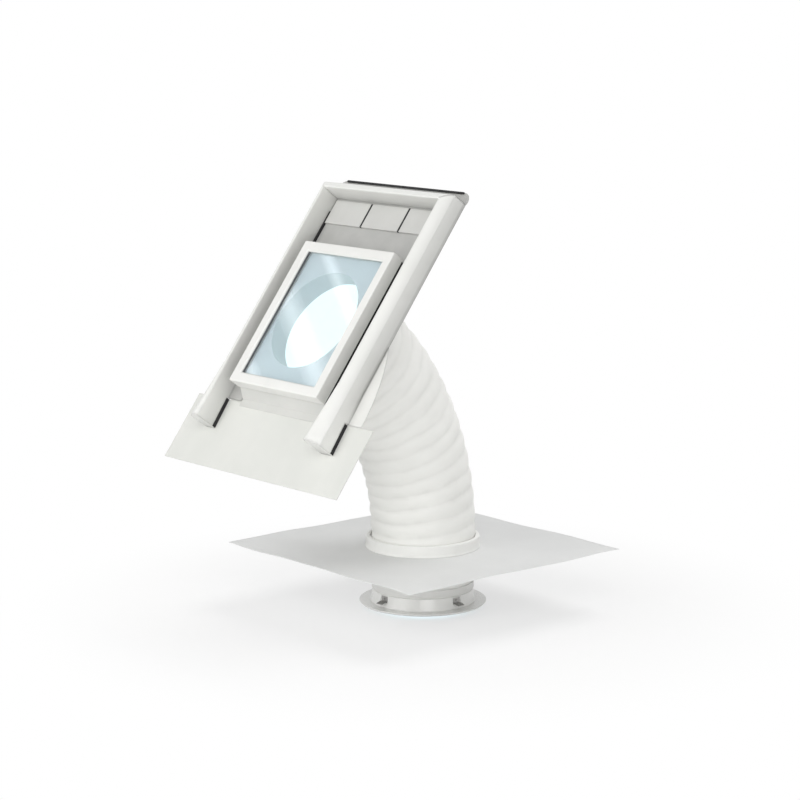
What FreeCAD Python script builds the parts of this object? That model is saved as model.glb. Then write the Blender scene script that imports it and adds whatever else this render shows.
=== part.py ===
import FreeCAD, Part
import math
import os
from FreeCAD import Placement, Rotation, Vector

# Tubular skylight for a pitched roof: a glazed roof unit in its flashing, a
# ribbed flexible duct, and a ceiling ring that holds a double diffuser.
# Sizes are in millimetres. The origin is the middle of the ceiling ring on the
# ceiling face, +Z is up, +X runs along the eaves and the roof falls towards -Y.

# Overall setting
ROOF_PITCH = 53.0
CLEARANCE = 0.3

# Flexible duct
DUCT_FOOT_R = 176.0
DUCT_FLARE = 14.5
DUCT_WALL = 2.0
DUCT_STRAIGHT = 208.0
BEND_RADIUS = 860.0
HEAD_STRAIGHT = 90.0
PLAIN_FOOT = 48.0
PLAIN_HEAD = 62.0
RIB_PITCH = 60.0
RIB_HEIGHT = 7.0

# Bands that hold the duct at its two ends
FOOT_BAND_H = 24.0
FOOT_BAND_WALL = 3.0
FOOT_BAND_RISE = 6.0
HEAD_CUFF_H = 42.0
HEAD_CUFF_WALL = 5.5
HEAD_CUFF_LIP = 8.0
HEAD_CUFF_STEP = 1.5

# Vapour barrier
VAPOUR_SIDE = 980.0
VAPOUR_SHEET = 2.0
COLLAR_H = 42.0
COLLAR_WALL = 15.0
COLLAR_FLARE = 3.0
COLLAR_LAP = 12.0
COLLAR_BELOW_BEND = 14.0

# Ceiling ring and its spring clips
FLANGE_REACH = 39.0
FLANGE_T = 8.0
FLANGE_EDGE = 5.0
RING_H = 80.0
RING_SHOULDER_Z = 42.0
RING_FLARE = 8.0
SPIGOT_WALL = 3.0
LEDGE_Z = 16.0
LEDGE_T = 4.0
LEDGE_REACH = 8.0
BAY_DEPTH = 1.5
BAY_ROOM = 2.0
BAY_SIDE = 4.0
CLIP_COUNT = 4
CLIP_W = 30.0
CLIP_T = 1.5
CLIP_TOP_Z = 38.0
CLIP_KNEE_Z = 20.0
CLIP_FOOT_Z = 13.0
CLIP_REACH = 26.0
CLIP_SCREW_R = 2.0
CLIP_SCREW_L = 4.0
CLIP_SCREW_HEAD = 2.4

# Double diffuser
SEAL_T = 4.0
SEAL_INSET = 1.0
LENS_WALL = 3.0
LENS_DROP = 12.0
LENS_EDGE = 6.0
LENS_BELOW = 1.0
INNER_LENS_T = 3.0
INNER_LENS_DOWN = 4.0

# Roof neck and reflector
NECK_WALL = 3.0
NECK_BELOW_ROOF = 70.0
NECK_PLATE = 4.0
DUCT_BELOW_ROOF = 20.0
NECK_SCREW_R = 2.5
NECK_SCREW_L = 24.0
NECK_SCREW_HEAD = 3.0
REFLECTOR_T = 1.2
THROAT_DEPTH = 72.0
THROAT_ROOM = 4.0

# Kerb, glazing and cap
KERB_WALL = 28.0
KERB_H = 72.0
KERB_LEDGE = 8.0
KERB_LEDGE_Z = 66.0
PANE_EXTRA_LENGTH = 92.0
PANE_T = 5.0
PANE_LAP = 16.0
GASKET_T = 3.0
GASKET_TOP = 2.0
GASKET_GRIP = 21.0
GASKET_END_GRIP = 15.0
CAP_WALL = 8.0
CAP_TOP = 8.0
CAP_DOWN = 38.0
CAP_LAP = 18.0
CAP_BEVEL = 5.0
CAP_BROW = 3.0
CAP_ROUND = 4.0

# Flashing
SHEET = 2.0
GUTTER = 79.0
CREST_H = 90.0
CREST_TURN = 6.0
CREST_ROUND = 30.0
CREST_BULGE = 0.58
FOOT_SPREAD = 12.0
FOOT_RISE = 10.0
FOOT_LENGTH = 225.0
FLOOR_Z = 6.0
UPSTAND_H = 34.0
KERB_SEAL_T = 4.0
KERB_SEAL_DOWN = 18.0
HEAD_TRAY = 233.0
TRAY_PANEL_L = 103.0
TRAY_PANEL_H = 8.0
TRAY_GROOVE = 9.0
TRAY_SEAL_DOWN = 1.0
HEAD_PLATE_REACH = 74.0
HEAD_PLATE_SIDE = 34.0
HEAD_PLATE_CORNER = 36.0
HEAD_SEAL_W = 7.0
HEAD_SEAL_H = 5.0
FOOT_REACH = 160.0
FOOT_SLOT_H = 17.0
SLOT_ROOM = 2.0
FOOT_SEAL_INSET = 1.0
EAR_REACH = 70.0
EAR_LENGTH = 300.0
SILL_REACH = 61.0
SILL_H = 40.0
SILL_SLOPE = 32.0
APRON_TOP = 46.0
APRON_REACH = 300.0
APRON_SIDE = 132.0

# Sizes that follow from the fits
spigot_r = DUCT_FOOT_R - CLEARANCE
shoulder_r = DUCT_FOOT_R + DUCT_WALL
ring_base_r = shoulder_r + RING_FLARE
flange_r = ring_base_r + FLANGE_REACH
duct_head_r = DUCT_FOOT_R + DUCT_FLARE
duct_foot_z = RING_SHOULDER_Z + CLEARANCE
bend_z = duct_foot_z + DUCT_STRAIGHT
bend_length = math.radians(ROOF_PITCH) * BEND_RADIUS
duct_length = DUCT_STRAIGHT + bend_length + HEAD_STRAIGHT
neck_r = duct_head_r - CLEARANCE
neck_bore_r = neck_r - NECK_WALL
throat_r = neck_bore_r - CLEARANCE
kerb_ledge_u = throat_r + THROAT_ROOM
kerb_inner_u = kerb_ledge_u + KERB_LEDGE
kerb_u = kerb_inner_u + KERB_WALL
longer = PANE_EXTRA_LENGTH / 2
kerb_v = kerb_u + longer
pane_z = KERB_H + GASKET_T
cap_z = pane_z + PANE_T + GASKET_TOP
crest_u = kerb_u + GUTTER
crest_v = kerb_v + HEAD_TRAY
foot_v = -kerb_v - FOOT_REACH
apron_top_v = -kerb_v - APRON_TOP
ring_bore_r = spigot_r + CLEARANCE
lens_r = ring_bore_r - CLEARANCE
lens_rim_z = LEDGE_Z - SEAL_T


def block(u, v, w):
    return Part.makeBox(u[1] - u[0], v[1] - v[0], w[1] - w[0], Vector(u[0], v[0], w[0]))


def slab(half_u, half_v, w):
    return block((-half_u, half_u), (-half_v, half_v), w)


def cylinder(radius, z):
    return Part.makeCylinder(radius, z[1] - z[0], Vector(0, 0, z[0]))


def tube(inner, outer, z):
    return cylinder(outer, z).cut(cylinder(inner, (z[0] - 1, z[1] + 1)))


def turned(profile):
    points = [Vector(r, 0, z) for r, z in profile]
    face = Part.Face(Part.makePolygon(points + points[:1]))
    return face.revolve(Vector(0, 0, 0), Vector(0, 0, 1), 360)


def hex_screw(radius, head_h, length):
    """A screw that points up, with the underside of its six-sided head at the origin."""
    corners = [math.radians(60 * i) for i in range(7)]
    outline = [Vector(2 * radius * math.cos(a), 2 * radius * math.sin(a), 0) for a in corners]
    head = Part.Face(Part.makePolygon(outline)).extrude(Vector(0, 0, -head_h))
    return head.fuse(cylinder(radius, (0, length)))


def fused(shapes):
    return shapes[0].multiFuse(shapes[1:]).removeSplitter()


def duct_place(s):
    """Where the duct's centre line is at length s from its lower end, and its tilt."""
    if s <= DUCT_STRAIGHT:
        return Vector(0, 0, duct_foot_z + s), 0.0
    turn = min(s - DUCT_STRAIGHT, bend_length) / BEND_RADIUS
    past = max(s - DUCT_STRAIGHT - bend_length, 0.0)
    y = -BEND_RADIUS * (1 - math.cos(turn)) - past * math.sin(turn)
    z = bend_z + BEND_RADIUS * math.sin(turn) + past * math.cos(turn)
    return Vector(0, y, z), math.degrees(turn)


def duct_radius(s):
    """Inner radius of the plain duct, which widens towards the roof."""
    share = (s - DUCT_STRAIGHT) / bend_length
    share = min(max(share, 0.0), 1.0)
    return DUCT_FOOT_R + share**2 * DUCT_FLARE


def duct_circle(s, radius):
    centre, tilt = duct_place(s)
    wire = Part.Wire([Part.makeCircle(radius)])
    wire.Placement = Placement(centre, Rotation(Vector(1, 0, 0), tilt))
    return wire


roof_origin, roof_tilt = duct_place(duct_length + DUCT_BELOW_ROOF)
roof_place = Placement(roof_origin, Rotation(Vector(1, 0, 0), roof_tilt))


def on_roof(shape):
    return shape.transformed(roof_place.toMatrix(), True)


# Duct: each rib is a soft bulge between two narrow creases
def flexible_duct():
    ribbed = duct_length - PLAIN_FOOT - PLAIN_HEAD
    count = max(round(ribbed / RIB_PITCH), 1)
    pitch = ribbed / count
    outer = [(0.0, 0.0)]
    for i in range(count):
        start = PLAIN_FOOT + i * pitch
        for share, rise in ((0.0, 0.0), (0.27, 1.0), (0.73, 1.0)):
            outer.append((start + share * pitch, rise * RIB_HEIGHT))
    outer.append((PLAIN_FOOT + ribbed, 0.0))
    outer.append((duct_length, 0.0))
    along_bore = [0.0, DUCT_STRAIGHT]
    bend_steps = max(count // 2, 4)
    for i in range(bend_steps):
        along_bore.append(DUCT_STRAIGHT + bend_length * (i + 1) / bend_steps)
    along_bore.append(duct_length)
    skin = [duct_circle(s, duct_radius(s) + DUCT_WALL + rise) for s, rise in outer]
    bore = [duct_circle(s, duct_radius(s)) for s in along_bore]
    bore_foot = cylinder(DUCT_FOOT_R, (duct_foot_z - 1, duct_foot_z))
    body = Part.makeLoft(skin, True, True)
    return body.cut(Part.makeLoft(bore, True, True)).cut(bore_foot)


def foot_band():
    inner = DUCT_FOOT_R + DUCT_WALL + CLEARANCE
    low = duct_foot_z + FOOT_BAND_RISE
    return tube(inner, inner + FOOT_BAND_WALL, (low, low + FOOT_BAND_H))


def head_cuff():
    inner = duct_head_r + DUCT_WALL + CLEARANCE
    outer = inner + HEAD_CUFF_WALL
    top = -DUCT_BELOW_ROOF
    low = top - HEAD_CUFF_H
    lip = low + HEAD_CUFF_LIP
    profile = (
        (inner, low),
        (outer, low),
        (outer, lip),
        (outer - HEAD_CUFF_STEP, lip),
        (outer - HEAD_CUFF_STEP, top),
        (inner, top),
    )
    return turned(profile)


# Vapour barrier: a square membrane bonded under a soft collar on the duct
collar_top = bend_z - COLLAR_BELOW_BEND
collar_z = collar_top - COLLAR_H
collar_bore_r = DUCT_FOOT_R + DUCT_WALL + RIB_HEIGHT + CLEARANCE
collar_r = collar_bore_r + COLLAR_WALL


def vapour_collar():
    profile = (
        (collar_bore_r, collar_z),
        (collar_r + COLLAR_FLARE, collar_z),
        (collar_r, collar_top),
        (collar_bore_r, collar_top),
    )
    return turned(profile)


def vapour_sheet():
    height = (collar_z - VAPOUR_SHEET, collar_z)
    hole = cylinder(collar_r + COLLAR_FLARE - COLLAR_LAP, (height[0] - 1, height[1] + 1))
    return slab(VAPOUR_SIDE / 2, VAPOUR_SIDE / 2, height).cut(hole)


# Ceiling ring: flange under the ceiling, cone through it, spigot for the duct
clip_seat_x = spigot_r + BAY_DEPTH
clip_angles = [i * 360.0 / CLIP_COUNT for i in range(CLIP_COUNT)]
clip_mid_z = (CLIP_TOP_Z + CLIP_KNEE_Z) / 2


def about_z(shape, angle):
    copy = shape.copy()
    copy.rotate(Vector(0, 0, 0), Vector(0, 0, 1), angle)
    return copy


def screw_hole(radius, x):
    return Part.makeCylinder(radius, x[1] - x[0], Vector(x[0], 0, clip_mid_z), Vector(1, 0, 0))


def ceiling_ring():
    profile = (
        (ring_bore_r, -FLANGE_T),
        (flange_r - FLANGE_EDGE, -FLANGE_T),
        (flange_r, -FLANGE_T + FLANGE_EDGE),
        (flange_r, 0),
        (ring_base_r, 0),
        (shoulder_r, RING_SHOULDER_Z),
        (spigot_r, RING_SHOULDER_Z),
        (spigot_r, RING_H),
        (spigot_r - SPIGOT_WALL, RING_H),
        (spigot_r - SPIGOT_WALL, LEDGE_Z + LEDGE_T),
        (ring_bore_r - LEDGE_REACH, LEDGE_Z + LEDGE_T),
        (ring_bore_r - LEDGE_REACH, LEDGE_Z),
        (ring_bore_r, LEDGE_Z),
    )
    ring = turned(profile)
    bay_y = CLIP_W / 2 + BAY_SIDE
    bay_z = (CLIP_KNEE_Z - CLIP_T - BAY_ROOM, CLIP_TOP_Z + BAY_ROOM)
    bay = block((clip_seat_x, flange_r), (-bay_y, bay_y), bay_z)
    hole_x = (spigot_r - SPIGOT_WALL - 1, clip_seat_x + 1)
    hole = screw_hole(CLIP_SCREW_R + CLEARANCE / 2, hole_x)
    for angle in clip_angles:
        ring = ring.cut(about_z(bay, angle)).cut(about_z(hole, angle))
    return ring


def ceiling_clip(angle):
    back = clip_seat_x
    knee = ring_base_r + BAY_ROOM / 2
    tip = back + CLIP_REACH
    outline = (
        (back, CLIP_TOP_Z),
        (back, CLIP_KNEE_Z - CLIP_T),
        (knee, CLIP_KNEE_Z - CLIP_T),
        (tip, CLIP_FOOT_Z),
        (tip, CLIP_FOOT_Z + CLIP_T),
        (knee, CLIP_KNEE_Z),
        (back + CLIP_T, CLIP_KNEE_Z),
        (back + CLIP_T, CLIP_TOP_Z),
    )
    points = [Vector(x, -CLIP_W / 2, z) for x, z in outline]
    strip = Part.Face(Part.makePolygon(points + points[:1])).extrude(Vector(0, CLIP_W, 0))
    hole = screw_hole(CLIP_SCREW_R + CLEARANCE / 2, (back - 1, back + CLIP_T + 1))
    return about_z(strip.cut(hole), angle)


def clip_screw(angle):
    under_head = clip_seat_x + CLIP_T
    screw = hex_screw(CLIP_SCREW_R, CLIP_SCREW_HEAD, CLIP_T + CLIP_SCREW_L)
    inward = Rotation(Vector(0, 0, 1), Vector(-1, 0, 0))
    screw.Placement = Placement(Vector(under_head, 0, clip_mid_z), inward)
    return about_z(screw, angle)


# Diffuser: a dished lens, a flat lens inside its rim, and a seal under the ledge
def diffuser_lens():
    skirt = lens_r - LENS_WALL
    step = skirt - LENS_WALL
    shelf = lens_rim_z - INNER_LENS_DOWN - INNER_LENS_T
    edge_z = -FLANGE_T - LENS_BELOW
    low_z = edge_z - LENS_EDGE - LENS_DROP
    outer_dome = [(0, low_z)]
    for share in (0.5, 0.8, 0.96):
        outer_dome.append((lens_r * share, low_z + LENS_DROP * max(share**2 - 0.25, 0)))
    inner_dome = [(r * step / lens_r, z + LENS_WALL) for r, z in outer_dome]
    profile = outer_dome + [
        (lens_r, edge_z),
        (lens_r, lens_rim_z),
        (skirt, lens_rim_z),
        (skirt, shelf),
        (step, shelf),
        (step, edge_z),
    ]
    return turned(profile + inner_dome[::-1])


def inner_lens():
    top = lens_rim_z - INNER_LENS_DOWN
    return cylinder(lens_r - LENS_WALL - CLEARANCE, (top - INNER_LENS_T, top))


def diffuser_seal():
    inner = ring_bore_r - LEDGE_REACH + SEAL_INSET
    return tube(inner, lens_r, (lens_rim_z, LEDGE_Z))


# Roof neck, which the duct slides over, and the bright tray and throat inside it
screw_places = [
    (sign_u * (kerb_u - KERB_WALL / 2), share * kerb_v)
    for sign_u in (-1, 1)
    for share in (-0.8, 0.8)
]


def upright(radius, u, v, w):
    return Part.makeCylinder(radius, w[1] - w[0], Vector(u, v, w[0]))


def tunnel_neck():
    plate = slab(kerb_u, kerb_v, (-NECK_PLATE, 0))
    neck = fused([plate, cylinder(neck_r, (-NECK_BELOW_ROOF, 0))])
    neck = neck.cut(cylinder(neck_bore_r, (-NECK_BELOW_ROOF - 1, 1)))
    for u, v in screw_places:
        neck = neck.cut(upright(NECK_SCREW_R + CLEARANCE / 2, u, v, (-NECK_PLATE - 1, 1)))
    return neck


def neck_screw(u, v):
    screw = hex_screw(NECK_SCREW_R, NECK_SCREW_HEAD, NECK_PLATE + NECK_SCREW_L)
    screw.translate(Vector(u, v, -NECK_PLATE))
    return screw


def reflector_tray():
    tray_u = kerb_inner_u - CLEARANCE
    top = KERB_LEDGE_Z + REFLECTOR_T
    tray = slab(tray_u, tray_u + longer, (KERB_LEDGE_Z, top))
    low = KERB_LEDGE_Z - THROAT_DEPTH
    throat = cylinder(throat_r, (low, KERB_LEDGE_Z))
    bore = cylinder(throat_r - REFLECTOR_T, (low - 1, top + 1))
    return fused([tray, throat]).cut(bore)


# Kerb that carries the glazing, with a ledge inside for the tray
def kerb_frame():
    kerb = slab(kerb_u, kerb_v, (0, KERB_H))
    kerb = kerb.cut(slab(kerb_inner_u, kerb_inner_u + longer, (KERB_LEDGE_Z, KERB_H + 1)))
    kerb = kerb.cut(slab(kerb_ledge_u, kerb_ledge_u + longer, (-1, KERB_H)))
    for u, v in screw_places:
        kerb = kerb.cut(upright(NECK_SCREW_R + CLEARANCE / 2, u, v, (-1, NECK_SCREW_L + 1)))
    return kerb


pane_u = kerb_inner_u + PANE_LAP


def glass_pane():
    return slab(pane_u, pane_u + longer, (pane_z, pane_z + PANE_T))


def glazing_gasket():
    outer_u = pane_u + GASKET_T
    inner_u = pane_u - GASKET_GRIP
    inner_v = pane_u + longer - GASKET_END_GRIP
    ring = slab(outer_u, outer_u + longer, (KERB_H, cap_z))
    ring = ring.cut(slab(inner_u, inner_v, (KERB_H - 1, cap_z + 1)))
    return ring.cut(glass_pane())


def rectangle(half_u, half_v, w):
    corners = ((-half_u, -half_v), (half_u, -half_v), (half_u, half_v), (-half_u, half_v))
    points = [Vector(u, v, w) for u, v in corners]
    return Part.makePolygon(points + points[:1])


def glazing_cap():
    cap_u = kerb_u + CAP_WALL
    top = cap_z + CAP_TOP
    light_u = pane_u - CAP_LAP
    cap = slab(cap_u, cap_u + longer, (cap_z - CAP_DOWN, top))
    rims = [e for e in cap.Edges if e.BoundBox.ZMin > top - 1 or e.BoundBox.ZLength > 1]
    cap = cap.makeFillet(CAP_ROUND, rims)
    seat_u = kerb_u + CLEARANCE
    cap = cap.cut(slab(seat_u, seat_u + longer, (cap_z - CAP_DOWN - 1, cap_z)))
    low = rectangle(light_u, light_u + longer, cap_z - 1)
    brow = rectangle(light_u, light_u + longer, cap_z + CAP_BROW)
    wide = light_u + CAP_BEVEL
    high = rectangle(wide, wide + longer, top + 0.01)
    return cap.cut(Part.makeLoft([low, brow, high], True, True))


# Flashing: a raised rounded border of formed sheet round the top and both sides
def border_section(station, inset, foot):
    """One section across a border, drawn outward from the crest line."""
    v, spread, rise = station
    turn = CREST_TURN - inset
    curve = CREST_ROUND - inset
    back = -(turn + spread)
    front = curve + spread
    waist = CREST_H + rise - CREST_TURN
    hip = CREST_H + rise - CREST_ROUND
    half = math.sqrt(0.5)

    def at(d, w):
        return Vector(crest_u + d, v, w)

    crest = at(0, CREST_H + rise - inset)
    edges = [
        Part.makeLine(at(back, foot), at(back, waist)),
        Part.Arc(at(back, waist), at(back * half, waist + turn * half), crest).toShape(),
        Part.Arc(crest, at(front * CREST_BULGE, hip + curve * CREST_BULGE), at(front, hip)).toShape(),
        Part.makeLine(at(front, hip), at(front, foot)),
        Part.makeLine(at(front, foot), at(back, foot)),
    ]
    return Part.Wire(edges)


def border(stations):
    """A hollow border of sheet through (v, spread, rise) stations, closed at its last end."""
    (top_v, *top), *between, (end_v, *end) = stations
    inside = [(top_v + 1, *top)] + between + [(end_v + SHEET, *end)]
    skin = [border_section(s, 0.0, 0.0) for s in stations]
    core = [border_section(s, SHEET, -1.0) for s in inside]
    return Part.makeLoft(skin, True, True).cut(Part.makeLoft(core, True, True))


def mitre(side):
    """Block on one side of the right corner's mitre: 1 is above it, -1 is below it."""
    size = 2 * (crest_u + crest_v)
    wedge = Part.makeBox(size, size, size, Vector(-size / 2, 0 if side > 0 else -size, -size / 2))
    wedge.Placement = Placement(Vector(crest_u, crest_v, 0), Rotation(Vector(0, 0, 1), 45))
    return wedge


def mirrored(shape):
    return shape.mirror(Vector(0, 0, 0), Vector(1, 0, 0))


floor_w = (FLOOR_Z, FLOOR_Z + SHEET)
inner_wall_u = crest_u - CREST_TURN
inner_wall_v = crest_v - CREST_TURN


def side_flashing():
    outer_v = crest_v + CREST_ROUND + 1
    wall = border([(outer_v, 0, 0), (foot_v + FOOT_LENGTH, 0, 0), (foot_v, FOOT_SPREAD, FOOT_RISE)])
    wall = wall.cut(mitre(1))
    low_v = apron_top_v + SLOT_ROOM
    across = (kerb_u, crest_u + CREST_ROUND + FOOT_SPREAD + 1)
    wall = wall.cut(block(across, (foot_v + SHEET, low_v), (-1, FOOT_SLOT_H)))
    wall = wall.cut(block(across, (foot_v - 1, low_v), (-1, SHEET + CLEARANCE)))
    floor = block((kerb_u, inner_wall_u + SHEET), (low_v, kerb_v), floor_w)
    upstand = block((kerb_u, kerb_u + SHEET), (-kerb_v, kerb_v), (FLOOR_Z, FLOOR_Z + UPSTAND_H))
    return fused([wall, floor, upstand, ear()])


def kerb_seal():
    """Rubber trim over the edge of the upstand, between the kerb's side and the cap."""
    edge = floor_w[0] + UPSTAND_H
    face_u = kerb_u + SHEET
    outline = (
        (kerb_u + CLEARANCE, edge),
        (face_u, edge),
        (face_u, edge - KERB_SEAL_DOWN),
        (face_u + KERB_SEAL_T, edge - KERB_SEAL_DOWN),
        (face_u + KERB_SEAL_T, cap_z - CAP_DOWN - CLEARANCE),
        (kerb_u + CLEARANCE, cap_z - CAP_DOWN - CLEARANCE),
    )
    points = [Vector(u, -kerb_v, w) for u, w in outline]
    return Part.Face(Part.makePolygon(points + points[:1])).extrude(Vector(0, 2 * kerb_v, 0))


def foot_seal():
    """Rubber strip on the apron that fills the slot under a border's foot."""
    ends = (foot_v + SHEET + CLEARANCE, apron_top_v)
    inner, outer = [], []
    for v in ends:
        spread = FOOT_SPREAD * (foot_v + FOOT_LENGTH - v) / FOOT_LENGTH
        inner.append(Vector(inner_wall_u - spread + FOOT_SEAL_INSET, v, SHEET))
        outer.append(Vector(crest_u + CREST_ROUND + spread - FOOT_SEAL_INSET, v, SHEET))
    outline = Part.makePolygon(inner + outer[::-1] + inner[:1])
    return Part.Face(outline).extrude(Vector(0, 0, FOOT_SLOT_H - CLEARANCE - SHEET))


def ear():
    """A soft-edged flange that widens beside the wall and ends above the apron."""
    root_u = crest_u + CREST_ROUND - SHEET
    tip_u = crest_u + CREST_ROUND + EAR_REACH
    low_v = apron_top_v + SLOT_ROOM
    top = Vector(root_u, low_v + EAR_LENGTH, 0)
    bulge = Vector(root_u + 0.88 * (tip_u - root_u), low_v + 0.4 * EAR_LENGTH, 0)
    tip = Vector(tip_u, low_v, 0)
    root = Vector(root_u, low_v, 0)
    edges = [Part.Arc(top, bulge, tip).toShape(), Part.makeLine(tip, root), Part.makeLine(root, top)]
    return Part.Face(Part.Wire(edges)).extrude(Vector(0, 0, SHEET))


panel_width = (2 * inner_wall_u - 4 * TRAY_GROOVE) / 3
panel_top = floor_w[1] + TRAY_PANEL_H
panel_v = (inner_wall_v - TRAY_PANEL_L, inner_wall_v - TRAY_GROOVE)


def tray_panels():
    """Three pressed panels across the head of the tray, with grooves between them."""
    top = panel_top
    panels = []
    for i in range(3):
        u = -inner_wall_u + TRAY_GROOVE + i * (panel_width + TRAY_GROOVE)
        panel = block((u, u + panel_width), panel_v, (floor_w[0], top))
        rims = [e for e in panel.Edges if e.BoundBox.ZMin > top - 1]
        panels.append(panel.makeFillet(SHEET, rims))
    return panels


def tray_seals():
    """Rubber strips in the grooves; the outer two run on down the corners of the tray."""
    height = (floor_w[1], panel_top - TRAY_SEAL_DOWN)
    corner_v = (kerb_v + CLEARANCE, (panel_v[0] + panel_v[1]) / 2)
    strips = []
    for i in range(4):
        u = -inner_wall_u + i * (panel_width + TRAY_GROOVE)
        across = (u + CLEARANCE, u + TRAY_GROOVE - CLEARANCE)
        strips.append(block(across, corner_v if i in (0, 3) else panel_v, height))
    return strips


def head_flashing():
    long_enough = crest_u + CREST_ROUND + 1
    wall = border([(long_enough, 0, 0), (0, 0, 0), (-long_enough, 0, 0)])
    wall.translate(Vector(crest_v - crest_u, 0, 0))
    wall.rotate(Vector(0, 0, 0), Vector(0, 0, 1), 90)
    wall = wall.cut(mitre(-1)).cut(mirrored(mitre(-1)))
    floor = block((-inner_wall_u, inner_wall_u), (kerb_v, inner_wall_v + SHEET), floor_w)
    upstand = block((-kerb_u, kerb_u), (kerb_v, kerb_v + SHEET), (FLOOR_Z, FLOOR_Z + UPSTAND_H))
    plate_u = crest_u + HEAD_PLATE_SIDE
    plate_v = (crest_v + CREST_ROUND - SHEET, crest_v + HEAD_PLATE_REACH)
    plate = block((-plate_u, plate_u), plate_v, (0, SHEET))
    corners = [e for e in plate.Edges if e.BoundBox.ZLength > SHEET / 2 and e.BoundBox.YMin > plate_v[1] - 1]
    plate = plate.makeFillet(min(HEAD_PLATE_CORNER, 0.9 * (plate_v[1] - plate_v[0])), corners)
    plate = plate.cut(mitre(-1)).cut(mirrored(mitre(-1)))
    panels = tray_panels()
    tray = fused([wall, floor, upstand, plate] + panels)
    for panel in panels:
        box = panel.BoundBox
        under_u = (box.XMin + SHEET, box.XMax - SHEET)
        under_v = (box.YMin + SHEET, box.YMax - SHEET)
        tray = tray.cut(block(under_u, under_v, (floor_w[0] - 1, box.ZMax - SHEET)))
    return tray


def head_seal():
    half_u = crest_u + HEAD_PLATE_SIDE - HEAD_PLATE_CORNER
    top_v = crest_v + HEAD_PLATE_REACH
    return block((-half_u, half_u), (top_v - HEAD_SEAL_W, top_v), (SHEET, SHEET + HEAD_SEAL_H))


def sill_flashing():
    top = SHEET + SILL_H
    outline = (
        (0, top),
        (SHEET, top),
        (SHEET + SILL_SLOPE, 2 * SHEET),
        (SILL_REACH, 2 * SHEET),
        (SILL_REACH, SHEET),
        (SILL_SLOPE, SHEET),
        (0, top - 2 * SHEET),
    )
    points = [Vector(-kerb_u, -kerb_v - d, w) for d, w in outline]
    return Part.Face(Part.makePolygon(points + points[:1])).extrude(Vector(2 * kerb_u, 0, 0))


def apron_skirt():
    half_u = crest_u + CREST_ROUND + APRON_SIDE
    tongue_u = inner_wall_u - FOOT_SPREAD - CLEARANCE
    skirt = block((-half_u, half_u), (-kerb_v - APRON_REACH, apron_top_v), (0, SHEET))
    tongue = block((-tongue_u, tongue_u), (apron_top_v, -kerb_v - SHEET), (0, SHEET))
    return fused([skirt, tongue])


ceiling_pieces = {
    "flexible_duct": flexible_duct(),
    "duct_foot_band": foot_band(),
    "vapour_collar": vapour_collar(),
    "vapour_sheet": vapour_sheet(),
    "ceiling_ring": ceiling_ring(),
    "clip_screws": Part.makeCompound([clip_screw(a) for a in clip_angles]),
    "diffuser_lens": diffuser_lens(),
    "diffuser_inner_lens": inner_lens(),
    "diffuser_seal": diffuser_seal(),
}
for i, angle in enumerate(clip_angles):
    ceiling_pieces["ceiling_clip_%d" % (i + 1)] = ceiling_clip(angle)

roof_pieces = {
    "duct_head_cuff": head_cuff(),
    "tunnel_neck": tunnel_neck(),
    "neck_screws": Part.makeCompound([neck_screw(u, v) for u, v in screw_places]),
    "reflector_tray": reflector_tray(),
    "kerb_frame": kerb_frame(),
    "glazing_gasket": glazing_gasket(),
    "glass_pane": glass_pane(),
    "glazing_cap": glazing_cap(),
    "side_flashing_right": side_flashing(),
    "side_flashing_left": mirrored(side_flashing()),
    "head_flashing": head_flashing(),
    "head_seal": head_seal(),
    "tray_seals": Part.makeCompound(tray_seals()),
    "kerb_seals": Part.makeCompound([kerb_seal(), mirrored(kerb_seal())]),
    "foot_seals": Part.makeCompound([foot_seal(), mirrored(foot_seal())]),
    "sill_flashing": sill_flashing(),
    "apron_skirt": apron_skirt(),
}

os.makedirs("parts", exist_ok=True)
for name, shape in ceiling_pieces.items():
    shape.exportStep("parts/%s.step" % name)
for name, shape in roof_pieces.items():
    on_roof(shape).exportStep("parts/%s.step" % name)
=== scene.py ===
# %% [markdown]
# # Tubular skylight
# A tubular skylight brings daylight from a pitched roof down to a room. A glazed
# unit sits in its flashing on the roof, a ribbed flexible duct leads the light
# down, and a ring in the ceiling holds a frosted diffuser. The hard pieces come
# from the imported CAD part. This lesson dresses them: it adds a camera and soft
# light, gives every piece its finish, and rebuilds the soft pieces in detail.

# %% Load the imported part
import math
from functools import partial

import bmesh
import bpy
from mathutils import Matrix, Vector


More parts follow.
